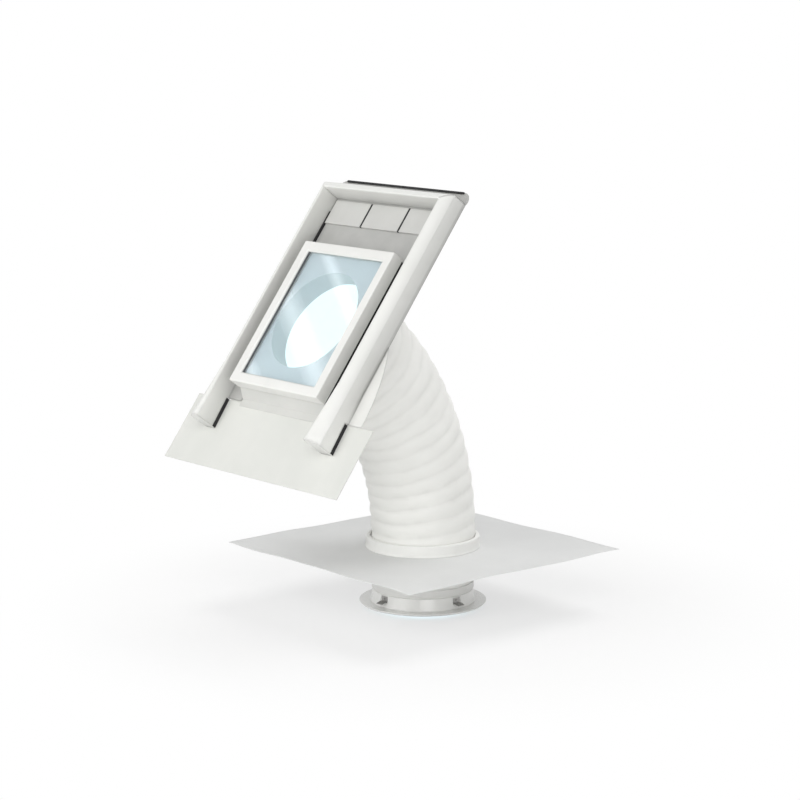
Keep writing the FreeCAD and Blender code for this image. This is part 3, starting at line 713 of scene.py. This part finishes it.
# %% Sizes and rows of the duct
DUCT_SIZES = {
    "Foot Height": 0.0423,
    "Straight": 0.208,
    "Bend Radius": 0.860,
    "Bend Angle": ROOF_PITCH,
    "Head Straight": 0.090,
    "Foot Radius": 0.176,
    "Flare": 0.0145,
    "Wall": 0.002,
    "Plain Foot": 0.048,
    "Plain Head": 0.062,
    "Rib Pitch": 0.060,
    "Rib Height": 0.0070,
    "Wrinkle": 0.0030,
}
SPANS, COLUMNS = 400, 180
RIM_ROW = 300 / SPANS
LAST_INSIDE = 399 / SPANS
ROW_SLACK = 0.0005


def within(m, value, low, high):
    """The value, held between two limits."""
    return m("MAXIMUM", m("MINIMUM", value, high), low)


def duct_grid(tree, m):
    """The flat grid, and each point's row from 0 to 1 and angle round the duct."""
    grid = tree.nodes.new("GeometryNodeMeshGrid")
    grid.inputs["Size X"].default_value = 1.0
    grid.inputs["Size Y"].default_value = 1.0
    grid.inputs["Vertices X"].default_value = SPANS + 1
    grid.inputs["Vertices Y"].default_value = COLUMNS + 1
    flat = tree.nodes.new("ShaderNodeSeparateXYZ")
    link(tree, tree.nodes.new("GeometryNodeInputPosition").outputs[0], flat.inputs[0])
    row = m("ADD", flat.outputs["X"], 0.5)
    angle = m("MULTIPLY", m("ADD", flat.outputs["Y"], 0.5), 2 * math.pi)
    return grid.outputs["Mesh"], row, angle


def duct_rows(m, row):
    """Share of the way up the duct, and 1 on the lining: rows go up, over the rim and down."""
    past_rim = m("GREATER_THAN", row, RIM_ROW + ROW_SLACK)
    inside = m("MULTIPLY", past_rim, m("LESS_THAN", row, LAST_INSIDE + ROW_SLACK))
    going_up = m("DIVIDE", row, RIM_ROW)
    going_down = m("DIVIDE", m("SUBTRACT", LAST_INSIDE, row), LAST_INSIDE - RIM_ROW)
    outer_share = m("MULTIPLY", going_up, m("SUBTRACT", 1.0, past_rim))
    share = m("ADD", outer_share, m("MULTIPLY", going_down, past_rim))
    return within(m, share, 0.0, 1.0), inside


print("duct grid:", SPANS, "by", COLUMNS, "faces")

# %% [markdown]
# The middle of the duct goes straight up, round the bend and straight on to the
# roof. A place along it is the share of its whole length. Before the bend only its
# height grows. In the bend it swings back on a circle, and past the bend it goes on
# in the direction that it has turned to.

# %% Centre line of the duct
def centre_line(m, size, share):
    """Where the duct's middle is at a share of its length, and how far it has turned."""
    bend_length = m("MULTIPLY", size["Bend Radius"], size["Bend Angle"])
    length = m("ADD", m("ADD", size["Straight"], bend_length), size["Head Straight"])
    s = m("MULTIPLY", share, length)
    past_straight = m("SUBTRACT", s, size["Straight"])
    bent = within(m, past_straight, 0.0, bend_length)
    turn = m("DIVIDE", bent, size["Bend Radius"])
    beyond = m("MAXIMUM", m("SUBTRACT", past_straight, bend_length), 0.0)
    cosine = m("COSINE", turn)
    sine = m("SINE", turn)
    swing = m("MULTIPLY", size["Bend Radius"], m("SUBTRACT", 1.0, cosine))
    forward = m("ADD", swing, m("MULTIPLY", beyond, sine))
    climb = m("ADD", m("MULTIPLY", size["Bend Radius"], sine), m("MULTIPLY", beyond, cosine))
    risen = m("ADD", size["Foot Height"], m("MINIMUM", s, size["Straight"]))
    return {
        "s": s,
        "length": length,
        "bent share": m("DIVIDE", bent, bend_length),
        "cosine": cosine,
        "sine": sine,
        "y": m("MULTIPLY", forward, -1.0),
        "z": m("ADD", risen, climb),
    }


bend_metres = DUCT_SIZES["Bend Radius"] * DUCT_SIZES["Bend Angle"]
duct_metres = DUCT_SIZES["Straight"] + bend_metres + DUCT_SIZES["Head Straight"]
print("length of the duct's middle:", round(duct_metres, 3))

# %% [markdown]
# Ribs are arches and waves mixed: arches give sharp creases and waves give round
# bulges. Their phase climbs one pitch in each turn round the duct, so the creases
# wind up it, and slow noise lets them wander and makes some deeper than others. The
# ribs fade out towards the two plain ends.

# %% Ribs of the duct
RIB_FADE = 0.03
SLOW_ROUND, SLOW_ALONG = 1.0, 3.0
SLOW_DETAIL = 2.0
WANDER, WANDER_SCALE = 0.55, 1.4
ARCH_POWER = 0.72
ARCH_SHARE = 0.5
DEPTH_SCALE = 2.3
DEPTH_BAND = 0.32, 0.68
SHALLOWEST = 0.42


def joined(tree, x, y, z):
    node = tree.nodes.new("ShaderNodeCombineXYZ")
    for socket, value in zip(node.inputs, (x, y, z)):
        link(tree, value, socket)
    return node.outputs[0]


def round_duct(tree, m, angle, s, around, along):
    """A place for noise that closes round the duct, stretched by two scales."""
    x = m("MULTIPLY", m("COSINE", angle), around)
    y = m("MULTIPLY", m("SINE", angle), around)
    return joined(tree, x, y, m("MULTIPLY", s, along))


def rib_fade(m, from_foot, to_head):
    """0 at the plain ends and 1 between them, with a smooth step from one to the other."""
    nearer = m("MINIMUM", m("DIVIDE", from_foot, RIB_FADE), m("DIVIDE", to_head, RIB_FADE))
    t = within(m, nearer, 0.0, 1.0)
    return m("MULTIPLY", m("MULTIPLY", t, t), m("SUBTRACT", 3.0, m("MULTIPLY", t, 2.0)))


def ribs(tree, m, size, line, angle):
    """Height of the ribs from 0 to 1, their plain waves, and the fade at the ends."""
    from_foot = m("SUBTRACT", line["s"], size["Plain Foot"])
    to_head = m("SUBTRACT", m("SUBTRACT", line["length"], size["Plain Head"]), line["s"])
    slow = round_duct(tree, m, angle, line["s"], SLOW_ROUND, SLOW_ALONG)
    wander = m("SUBTRACT", noise(tree, slow, WANDER_SCALE, SLOW_DETAIL), 0.5)
    climbing = m("SUBTRACT", m("DIVIDE", from_foot, size["Rib Pitch"]), m("DIVIDE", angle, 2 * math.pi))
    phase = m("FRACT", m("ADD", climbing, m("MULTIPLY", wander, WANDER)))
    half_turn = m("SINE", m("MULTIPLY", phase, math.pi))
    arches = m("POWER", m("MAXIMUM", half_turn, 0.0), ARCH_POWER)
    full_turn = m("COSINE", m("MULTIPLY", phase, 2 * math.pi))
    waves = m("SUBTRACT", 0.5, m("MULTIPLY", full_turn, 0.5))
    bulge = m("ADD", m("MULTIPLY", arches, ARCH_SHARE), m("MULTIPLY", waves, 1.0 - ARCH_SHARE))
    depth = noise(tree, slow, DEPTH_SCALE, SLOW_DETAIL)
    fullness = spread(tree, depth, *DEPTH_BAND, SHALLOWEST, 1.0)
    crest = m("SUBTRACT", 1.0, m("MULTIPLY", m("SUBTRACT", 1.0, bulge), fullness))
    return crest, waves, rib_fade(m, from_foot, to_head)


ribbed_metres = duct_metres - DUCT_SIZES["Plain Foot"] - DUCT_SIZES["Plain Head"]
print("ribs:", round(ribbed_metres / DUCT_SIZES["Rib Pitch"], 1))

# %% [markdown]
# The radius is that of the plain tube, which widens along the bend, with the ribs
# and the wrinkles added outside. Wrinkles are noise that is short along the duct and
# long round it. The lining is the same tube with shallower waves and no wall added.
# The rule keeps two facts on the mesh: how deep in a crease a point is, for the
# finish, and which faces are lining. It ends with the seam closed and both finishes on.

# %% Skin and finish of the duct's mesh
WRINKLE_ROUND, WRINKLE_ALONG = 0.9, 22.0
WRINKLE_SCALE, WRINKLE_DETAIL, WRINKLE_ROUGHNESS = 1.6, 3.0, 0.5
LINING_WAVE = 0.2
SEAM_GAP = 0.0002


def duct_radius(tree, m, size, line, angle, inside, rib_facts):
    """Radius at each point: the plain tube with ribs, wrinkles and wall, or with the lining."""
    crest, waves, fade = rib_facts
    streaky = round_duct(tree, m, angle, line["s"], WRINKLE_ROUND, WRINKLE_ALONG)
    wrinkles = noise(tree, streaky, WRINKLE_SCALE, WRINKLE_DETAIL, WRINKLE_ROUGHNESS)
    wrinkled = m("MULTIPLY", m("SUBTRACT", wrinkles, 0.5), size["Wrinkle"])
    rise = m("ADD", m("MULTIPLY", crest, size["Rib Height"]), wrinkled)
    rise = m("MULTIPLY", within(m, rise, 0.0, size["Rib Height"]), fade)
    outer = m("MULTIPLY", m("ADD", rise, size["Wall"]), m("SUBTRACT", 1.0, inside))
    shallow = m("MULTIPLY", size["Rib Height"], LINING_WAVE)
    inner = m("MULTIPLY", m("MULTIPLY", m("MULTIPLY", waves, fade), shallow), inside)
    squared = m("MULTIPLY", line["bent share"], line["bent share"])
    plain = m("ADD", size["Foot Radius"], m("MULTIPLY", squared, size["Flare"]))
    return m("ADD", plain, m("ADD", outer, inner))


def stored(tree, geometry, name, value, domain):
    node = tree.nodes.new("GeometryNodeStoreNamedAttribute")
    node.data_type = "FLOAT"
    node.domain = domain
    node.inputs["Name"].default_value = name
    link(tree, geometry, node.inputs["Geometry"])
    link(tree, value, node.inputs["Value"])
    return node.outputs["Geometry"]


def in_turn(tree, kind, geometry):
    """One more geometry node after the last; returns the node."""
    node = tree.nodes.new(kind)
    link(tree, geometry, node.inputs["Geometry"])
    return node


def dressed_tube(tree, size, geometry):
    """Closes the seam, shades it smooth, and gives the sleeve and the lining their finish."""
    closed = in_turn(tree, "GeometryNodeMergeByDistance", geometry)
    closed.inputs["Distance"].default_value = SEAM_GAP
    smooth = in_turn(tree, "GeometryNodeSetShadeSmooth", closed.outputs["Geometry"])
    realized = in_turn(tree, "GeometryNodeRealizeInstances", smooth.outputs["Geometry"])
    sleeve = in_turn(tree, "GeometryNodeSetMaterial", realized.outputs["Geometry"])
    lining = in_turn(tree, "GeometryNodeSetMaterial", sleeve.outputs["Geometry"])
    marks = tree.nodes.new("GeometryNodeInputNamedAttribute")
    marks.data_type = "FLOAT"
    marks.inputs["Name"].default_value = "lining"
    is_lining = calc(tree, "GREATER_THAN", marks.outputs["Attribute"], 0.5)
    link(tree, size["Sleeve"], sleeve.inputs["Material"])
    link(tree, is_lining, lining.inputs["Selection"])
    link(tree, size["Lining"], lining.inputs["Material"])
    return lining.outputs["Geometry"]


# %% Rule of the duct
def duct_rule():
    sizes = [(label, NUMBER) for label in DUCT_SIZES]
    materials = [("Sleeve", "NodeSocketMaterial"), ("Lining", "NodeSocketMaterial")]
    tree, given, out = group_tree(
        "ribbed_duct", "GeometryNodeTree", sizes + materials, [("Geometry", "NodeSocketGeometry")]
    )
    size = given.outputs
    m = partial(calc, tree)
    grid, row, angle = duct_grid(tree, m)
    share, inside = duct_rows(m, row)
    line = centre_line(m, size, share)
    crest, waves, fade = ribs(tree, m, size, line, angle)
    radius = duct_radius(tree, m, size, line, angle, inside, (crest, waves, fade))
    level = m("MULTIPLY", radius, m("SINE", angle))
    x = m("MULTIPLY", radius, m("COSINE", angle))
    y = m("ADD", line["y"], m("MULTIPLY", level, line["cosine"]))
    z = m("ADD", line["z"], m("MULTIPLY", level, line["sine"]))
    in_crease = m("MULTIPLY", m("SUBTRACT", 1.0, crest), fade)
    marked = stored(tree, grid, "crease", in_crease, "POINT")
    marked = stored(tree, marked, "lining", inside, "FACE")
    moved = in_turn(tree, "GeometryNodeSetPosition", marked)
    link(tree, joined(tree, x, y, z), moved.inputs["Position"])
    link(tree, dressed_tube(tree, size, moved.outputs["Geometry"]), out.inputs["Geometry"])
    return tree


ribbed_duct = duct_rule()
print("duct rule:", len(ribbed_duct.nodes), "nodes,", len(DUCT_SIZES), "sizes")

# %% [markdown]
# The sleeve is a soft white laminate. Its creases hold a little shade, which the rule left as an
# attribute on the mesh, and its surface has the fine crinkle of thin film. The lining is silver foil
# with a soft painted glow, which stands in for the daylight in the duct.

# %% Finishes of the duct
SLEEVE_TONES = (0.885, 0.885, 0.855, 1.0), (0.85, 0.85, 0.82, 1.0)
SLEEVE_PATCHES = 7.0
CREASE_SHADE = (0.58, 0.58, 0.55, 1.0)
CREASE_FROM, CREASE_MOST = 0.3, 0.25
CRINKLE_SCALE, CRINKLE_DETAIL = 75.0, 6.0
CRINKLE_BUMP, CRINKLE_DEPTH = 0.25, 0.0012
SLEEVE_GLOSS = 0.42, 0.58
FOIL_BUMP, FOIL_DEPTH, FOIL_GLOSS = 0.2, 0.001, 0.3

sleeve_film, tree, shader = new_material("sleeve_film")
place = object_place(tree)
crease = tree.nodes.new("ShaderNodeAttribute")
crease.attribute_name = "crease"
cloud = spread(tree, noise(tree, place, SLEEVE_PATCHES, CLOUD_DETAIL), *CLOUD_BAND, 0.0, 1.0)
plain_white = mix_colour(tree, cloud, *SLEEVE_TONES)
shade_share = spread(tree, crease.outputs["Fac"], CREASE_FROM, 1.0, 0.0, CREASE_MOST)
link(tree, mix_colour(tree, shade_share, plain_white, CREASE_SHADE), shader.inputs["Base Color"])
crinkle = noise(tree, place, CRINKLE_SCALE, CRINKLE_DETAIL, GRAIN_ROUGHNESS)
link(tree, bump(tree, crinkle, CRINKLE_BUMP, CRINKLE_DEPTH), shader.inputs["Normal"])
link(tree, spread(tree, crinkle, *GRAIN_BAND, *SLEEVE_GLOSS), shader.inputs["Roughness"])

bright_lining, tree, shader = new_material("bright_lining")
silver, painted_glow, foil = lining_colours(tree, object_place(tree))
link(tree, silver, shader.inputs["Base Color"])
link(tree, painted_glow, shader.inputs["Emission Color"])
link(tree, bump(tree, foil, FOIL_BUMP, FOIL_DEPTH), shader.inputs["Normal"])
# Painted light: the lining glows though it is no lamp.
set_values(shader, {"Emission Strength": LINING_PAINTED_GLOW, "Roughness": FOIL_GLOSS})
print("duct finishes:", sleeve_film.name, bright_lining.name)


# %% Make the duct
def made_by_rule(name, tree, values):
    """Runs a Geometry Nodes rule and keeps its result as a plain mesh object."""
    seed = bpy.data.objects.new(name + "_rule", bpy.data.meshes.new(name + "_rule"))
    scene.collection.objects.link(seed)
    rule = seed.modifiers.new("rule", "NODES")
    rule.node_group = tree
    for item in tree.interface.items_tree:
        if item.item_type == "SOCKET" and item.in_out == "INPUT":
            rule[item.identifier] = values[item.name]
    ready = bpy.context.evaluated_depsgraph_get()
    mesh = bpy.data.meshes.new_from_object(seed.evaluated_get(ready))
    seed.modifiers.remove(rule)
    bpy.data.objects.remove(seed)
    piece = bpy.data.objects.new(name, mesh)
    scene.collection.objects.link(piece)
    return piece


duct_values = {**DUCT_SIZES, "Sleeve": sleeve_film, "Lining": bright_lining}
duct = made_by_rule("duct_sleeve", ribbed_duct, duct_values)
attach(duct, "root")
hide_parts("flexible_duct")
print("duct:", len(duct.data.polygons), "faces")

# %% [markdown]
# ## Vapour membrane
# A square of grey reinforced film seals the ceiling round the duct. Its finish shows
# the film's smoky grey, a fine roughness, and the threads of its scrim: lines 8 mm
# apart both ways, a little darker and raised.

# %% Film of the membrane
THREAD_PITCH = 0.008
THREAD_WIDTH = THREAD_PITCH * 0.12
FILM_TONES = (0.76, 0.765, 0.76, 1.0), (0.715, 0.72, 0.715, 1.0)
THREAD_GREY = (0.61, 0.615, 0.61, 1.0)
THREAD_SHARE = 0.16
SMOKE_SCALE, FINE_SCALE = 3.2, 160.0
FILM_GLOSS = 0.5, 0.66
FILM_BUMP, FILM_DEPTH = 0.2, 0.0002

membrane_film, tree, shader = new_material("membrane_film")
place = object_place(tree)
axes = tree.nodes.new("ShaderNodeSeparateXYZ")
link(tree, place, axes.inputs[0])
threads = []
for axis in ("X", "Y"):
    from_thread = calc(tree, "PINGPONG", axes.outputs[axis], THREAD_PITCH / 2)
    threads.append(spread(tree, from_thread, 0.0, THREAD_WIDTH, 1.0, 0.0))
scrim = calc(tree, "MAXIMUM", *threads)
smoky = spread(tree, noise(tree, place, SMOKE_SCALE, CLOUD_DETAIL), *CLOUD_BAND, 0.0, 1.0)
film_grey = mix_colour(tree, smoky, *FILM_TONES)
film_grey = mix_colour(tree, calc(tree, "MULTIPLY", scrim, THREAD_SHARE), film_grey, THREAD_GREY)
fine = noise(tree, place, FINE_SCALE, CLOUD_DETAIL)
raised = calc(tree, "ADD", scrim, fine)
link(tree, film_grey, shader.inputs["Base Color"])
link(tree, spread(tree, fine, *GRAIN_BAND, *FILM_GLOSS), shader.inputs["Roughness"])
link(tree, bump(tree, raised, FILM_BUMP, FILM_DEPTH), shader.inputs["Normal"])
print("membrane finish:", membrane_film.name)

# %% [markdown]
# The sheet is bonded flat under the collar and lies in faint waves further out. The
# mesh is rows of rings that start round at the hole and end square at the hem, so the
# waves can follow the sheet's own directions. Solidify gives the film its thickness.

# %% Membrane
SHEET_HOLE = 0.1913
SHEET_ROUNDS, SHEET_ROWS = 256, 36
BONDED = 0.215
FILM = 0.0009
MERGE = 0.00001
WAVE_HEIGHT = 0.0034
LONG_WAVES = (9.0, 4.0, 0.6), (5.0, -8.0, math.pi / 2)
SHORT_WAVES = (21.0, -6.0, 0.0), (0.0, 17.0, 1.1)
SHORT_SHARE = 0.35
SAG_SHARE = 0.6

sheet_low, sheet_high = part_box("vapour_sheet")
sheet_half = (sheet_high.x - sheet_low.x) / 2
sheet_top = sheet_high.z


def ripple(x, y, waves):
    """Product of plane waves, each given by its rates along x and y and its shift."""
    return math.prod(math.sin(along_x * x + along_y * y + shift) for along_x, along_y, shift in waves)


def wave(x, y):
    """Height of the membrane's waves, from nothing at the collar to all of it at the hem."""
    out = min(max((math.hypot(x, y) - BONDED) / (sheet_half - BONDED), 0.0), 1.0)
    swell = ripple(x, y, LONG_WAVES) + SHORT_SHARE * ripple(x, y, SHORT_WAVES)
    return out * out * WAVE_HEIGHT * (swell - SAG_SHARE)


def mesh_piece(name, points, faces, finish):
    mesh = bpy.data.meshes.new(name)
    mesh.from_pydata(points, [], faces)
    shape = bmesh.new()
    shape.from_mesh(mesh)
    bmesh.ops.remove_doubles(shape, verts=shape.verts, dist=MERGE)
    shape.to_mesh(mesh)
    shape.free()
    mesh.materials.append(finish)
    mesh.shade_smooth()
    piece = bpy.data.objects.new(name, mesh)
    scene.collection.objects.link(piece)
    return piece


sheet_points = []
for row in range(SHEET_ROWS + 1):
    out = row / SHEET_ROWS
    for step in range(SHEET_ROUNDS):
        angle = 2 * math.pi * step / SHEET_ROUNDS
        level, rise = math.cos(angle), math.sin(angle)
        edge = sheet_half / max(abs(level), abs(rise))
        far = SHEET_HOLE + (edge - SHEET_HOLE) * out
        x, y = far * level, far * rise
        sheet_points.append((x, y, sheet_top + wave(x, y)))
sheet_faces = []
for row in range(SHEET_ROWS):
    first = row * SHEET_ROUNDS
    for step in range(SHEET_ROUNDS):
        here = first + step
        after = first + (step + 1) % SHEET_ROUNDS
        sheet_faces.append((here, here + SHEET_ROUNDS, after + SHEET_ROUNDS, after))

membrane = mesh_piece("vapour_membrane", sheet_points, sheet_faces, membrane_film)
film = membrane.modifiers.new("film", "SOLIDIFY")
film.thickness = FILM
film.offset = -1.0
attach(membrane, "root")
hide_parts("vapour_sheet")

# %% [markdown]
# ## Turned pieces
# The collar and the diffuser are round. A lathe is the plain way: a few points of
# the section, turned about the duct's axis. Corners of the section are rounded
# first, so that the soft collar has a full lip and the lens has a smooth dish.

# %% Lathe
TURN_STEPS = 160
CORNER_STEPS = 6


def rounded(corners, radii):
    """The corners of a closed section with each one rounded to its own radius."""
    outline = []
    count = len(corners)
    for i, (corner, radius) in enumerate(zip(corners, radii)):
        here = Vector(corner)
        before = (Vector(corners[i - 1]) - here).normalized()
        after = (Vector(corners[(i + 1) % count]) - here).normalized()
        half = before.angle(after) / 2
        reach = radius / math.tan(half)
        centre = here + (before + after).normalized() * radius / math.sin(half)
        first = here + before * reach - centre
        last = here + after * reach - centre
        for k in range(CORNER_STEPS + 1):
            swing = first.lerp(last, k / CORNER_STEPS)
            outline.append(centre + swing.normalized() * radius)
    return outline


def lathe(name, section, finish):
    """Turns a closed section, listed with its material on the left, about the Z axis."""
    points, faces = [], []
    count = len(section)
    for step in range(TURN_STEPS):
        angle = 2 * math.pi * step / TURN_STEPS
        points += [(r * math.cos(angle), r * math.sin(angle), z) for r, z in section]
    for step in range(TURN_STEPS):
        here, after = step * count, (step + 1) % TURN_STEPS * count
        for k in range(count):
            n = (k + 1) % count
            if section[k][0] or section[n][0]:
                faces.append((here + k, after + k, after + n, here + n))
    return mesh_piece(name, points, faces, finish)


# %% Collar, with the radius that rounds each corner of its section
COLLAR_BORE, COLLAR_FOOT_R, COLLAR_TOP_R = 0.1853, 0.2033, 0.2003
COLLAR_FOOT_H, COLLAR_WAIST_H = 0.004, 0.009
COLLAR_LEAN = 0.0004

collar_low, collar_high = (corner.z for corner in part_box("vapour_collar"))
collar_outline = [
    ((COLLAR_BORE, collar_low), 0.0005),
    ((COLLAR_FOOT_R, collar_low), 0.0012),
    ((COLLAR_FOOT_R, collar_low + COLLAR_FOOT_H), 0.0018),
    ((COLLAR_TOP_R + COLLAR_LEAN, collar_low + COLLAR_WAIST_H), 0.004),
    ((COLLAR_TOP_R, collar_high), 0.006),
    ((COLLAR_BORE, collar_high), 0.004),
]
collar_corners, collar_radii = zip(*collar_outline)
collar = lathe("vapour_collar_soft", rounded(collar_corners, collar_radii), soft_collar)
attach(collar, "root")
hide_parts("vapour_collar")
print("collar:", len(collar.data.polygons), "faces")

# %% [markdown]
# The diffuser is a shallow pressed dish. Its bottom runs from a nearly flat middle
# into a full round edge, which a superellipse draws: the curve of a squashed circle
# whose power is above two. The same curve, smaller by the wall, is its inside, and
# a stepped skirt stands on the edge to hold the flat inner lens.

# %% Diffuser dish
LENS_R, LENS_WALL = 0.1757, 0.003
LENS_EDGE_Z, LENS_RIM_Z, LENS_SHELF_Z = -0.009, 0.012, 0.005
DISH_POWER, DISH_STEPS = 2.6, 28
dish_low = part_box("diffuser_lens")[0].z


def dish(radius, low):
    """Points of the dish's curve from the axis out to its edge."""
    curve = []
    for step in range(DISH_STEPS + 1):
        swing = math.pi / 2 * step / DISH_STEPS
        out = max(math.sin(swing), 0.0) ** (2 / DISH_POWER)
        down = max(math.cos(swing), 0.0) ** (2 / DISH_POWER)
        curve.append((radius * out, LENS_EDGE_Z - (LENS_EDGE_Z - low) * down))
    return curve


lens_skirt = LENS_R - LENS_WALL
lens_step = LENS_R - 2 * LENS_WALL
skirt = [
    (LENS_R, LENS_RIM_Z),
    (lens_skirt, LENS_RIM_Z),
    (lens_skirt, LENS_SHELF_Z),
    (lens_step, LENS_SHELF_Z),
]
dish_inside = dish(lens_step, dish_low + LENS_WALL)
dish_section = dish(LENS_R, dish_low) + skirt + dish_inside[::-1]
diffuser = lathe("diffuser_dish", dish_section, frosted)
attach(diffuser, "root")
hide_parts("diffuser_lens")
print("diffuser:", len(diffuser.data.polygons), "faces")

# %% End
print("scene built")
